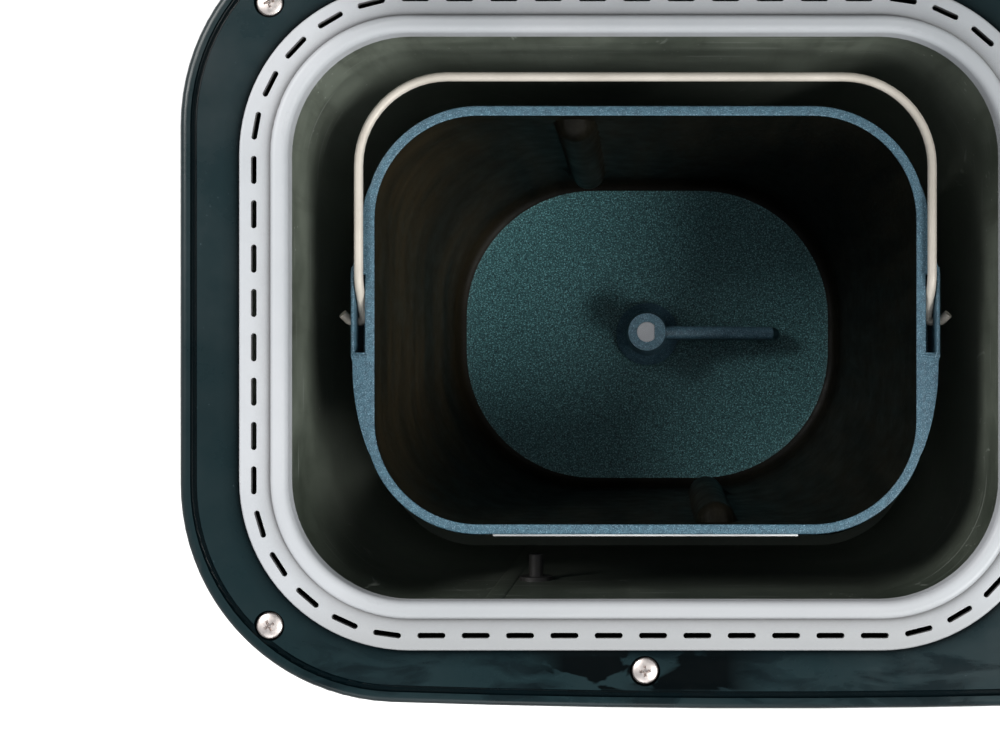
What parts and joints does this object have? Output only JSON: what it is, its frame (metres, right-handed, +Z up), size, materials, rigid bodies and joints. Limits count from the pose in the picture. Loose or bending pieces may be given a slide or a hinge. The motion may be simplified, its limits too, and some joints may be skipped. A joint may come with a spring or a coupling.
{
  "type": "bread machine",
  "caption": "Worktop bread machine with a hinged lid, a lift-out cast pan with a wire bail, a kneading paddle on a belt drive and a side console of keys.",
  "frame": {"origin": "on the worktop, under the kneading shaft's axis", "axes": "+X to the console on the right, +Y to the hinged rear, +Z up"},
  "size_m": [0.3761, 0.3069, 0.4965],
  "materials": {
    "deck_black": "glossy dark green-black",
    "ring_grey": "matte pale grey",
    "base_black": "matte black",
    "steel_sheet": "brushed",
    "oven_steel": "heat-stained grey sheet metal",
    "zinc_steel": "zinc plated",
    "pan_coating": "speckled non-stick coating",
    "cast_aluminium": "as cast",
    "wire_steel": "satin wire",
    "screw_steel": "bright zinc",
    "shaft_steel": "ground",
    "heater_sheath": "oxidised",
    "ceramic_white": "glazed ceramic",
    "bronze": "sintered",
    "pulley_nylon": "natural nylon",
    "belt_rubber": "matte",
    "foot_rubber": "matte",
    "motor_steel": "laminated steel",
    "board_green": "solder mask",
    "inlet_black": "satin",
    "pin_brass": "nickel on brass",
    "console_black": "satin dark",
    "fascia_black": "glossy",
    "lcd_glass": "clear",
    "lcd_panel": "grey-green display",
    "key_silver": "satin silver",
    "start_red": "satin red",
    "silicone_red": "silicone",
    "silicone_grey": "silicone",
    "window_glass": "tempered",
    "liner_aluminium": "satin pressed sheet"
  },
  "bodies": {
    "base": {"base_tray": "base_black", "rubber_feet": "foot_rubber", "base_screws": "screw_steel", "steel_wrap": "steel_sheet", "deck_frame": "deck_black", "slot_ring": "ring_grey", "deck_screws": "screw_steel", "chassis_plate": "zinc_steel", "oven_chamber": "oven_steel", "pan_seat": "zinc_steel", "pan_clips": "zinc_steel", "heating_element": "heater_sheath", "heater_bushings": "ceramic_white", "heater_clips": "zinc_steel", "temperature_probe": "heater_sheath", "bearing_housing": "cast_aluminium", "drive_bushes": "bronze", "drive_belt": "belt_rubber", "motor_case": "motor_steel", "motor_mounts": "foot_rubber", "motor_capacitor": "liner_aluminium", "power_board": "board_green", "power_inlet": "inlet_black", "inlet_pins": "pin_brass", "control_console": "console_black", "control_fascia": "fascia_black", "lcd_lens": "lcd_glass", "lcd_module": "lcd_panel", "control_board": "board_green", "hinge_brackets": "zinc_steel"},
    "lid": {"lid_shell": "deck_black", "lid_liner": "liner_aluminium", "lid_seal": "silicone_grey", "lid_window": "window_glass", "window_frame": "base_black", "inner_window": "window_glass", "lid_grip": "console_black", "hinge_pins": "shaft_steel", "liner_screws": "screw_steel"},
    "pan": {"bread_pan": "pan_coating", "pan_base": "cast_aluminium", "pan_bush": "bronze", "shaft_seal": "silicone_red"},
    "bail": {"bail_handle": "wire_steel"},
    "spindle": {"pan_spindle": "shaft_steel", "spindle_coupler": "cast_aluminium", "spindle_clip": "zinc_steel"},
    "paddle": {"kneading_paddle": "pan_coating"},
    "drive": {"drive_shaft": "shaft_steel", "drive_coupler": "cast_aluminium", "driven_pulley": "pulley_nylon"},
    "rotor": {"motor_shaft": "shaft_steel", "motor_pulley": "zinc_steel", "motor_fan": "pulley_nylon"},
    "menu_key": {"menu_button": "key_silver"},
    "crust_key": {"crust_button": "key_silver"},
    "timer_down_key": {"timer_down_button": "key_silver"},
    "timer_up_key": {"timer_up_button": "key_silver"},
    "loaf_key": {"loaf_button": "key_silver"},
    "start_key": {"start_button": "start_red"}
  },
  "joints": [
    {"name": "lid_hinge", "type": "hinge", "parent": "base", "child": "lid", "pos_m": [0, 0.12, 0.2475], "axis": [-1, 0, 0], "range_deg": [-97, 0]},
    {"name": "pan_lift", "type": "slide", "parent": "base", "child": "pan", "axis": [0, 0, 1], "range_m": [0, 0.19]},
    {"name": "bail_swing", "type": "hinge", "parent": "pan", "child": "bail", "pos_m": [0, 0, 0.212], "axis": [1, 0, 0], "range_deg": [0, 97]},
    {"name": "drive_spin", "type": "hinge", "parent": "base", "child": "drive", "pos_m": [0, 0, 0.03], "axis": [0, 0, 1], "continuous": true},
    {"name": "spindle_spin", "type": "hinge", "parent": "pan", "child": "spindle", "pos_m": [0, 0, 0.08], "axis": [0, 0, 1], "continuous": true},
    {"name": "motor_spin", "type": "hinge", "parent": "base", "child": "rotor", "pos_m": [0.186, 0, 0.03], "axis": [0, 0, 1], "continuous": true},
    {"name": "paddle_lift", "type": "slide", "parent": "spindle", "child": "paddle", "axis": [0, 0, 1], "range_m": [0, 0.024]},
    {"name": "menu_press", "type": "slide", "parent": "base", "child": "menu_key", "axis": [0, 0, -1], "range_m": [0, 0.0015], "stiffness_N_per_m": 400, "springref_m": -0.0005},
    {"name": "crust_press", "type": "slide", "parent": "base", "child": "crust_key", "axis": [0, 0, -1], "range_m": [0, 0.0015], "stiffness_N_per_m": 400, "springref_m": -0.0005},
    {"name": "timer_down_press", "type": "slide", "parent": "base", "child": "timer_down_key", "axis": [0, 0, -1], "range_m": [0, 0.0015], "stiffness_N_per_m": 400, "springref_m": -0.0005},
    {"name": "timer_up_press", "type": "slide", "parent": "base", "child": "timer_up_key", "axis": [0, 0, -1], "range_m": [0, 0.0015], "stiffness_N_per_m": 400, "springref_m": -0.0005},
    {"name": "loaf_press", "type": "slide", "parent": "base", "child": "loaf_key", "axis": [0, 0, -1], "range_m": [0, 0.0015], "stiffness_N_per_m": 400, "springref_m": -0.0005},
    {"name": "start_press", "type": "slide", "parent": "base", "child": "start_key", "axis": [0, 0, -1], "range_m": [0, 0.0015], "stiffness_N_per_m": 400, "springref_m": -0.0005}
  ],
  "couplings": [
    {"joint": "spindle_spin", "follows": "drive_spin", "ratio": 1},
    {"joint": "motor_spin", "follows": "drive_spin", "ratio": 5.5}
  ]
}
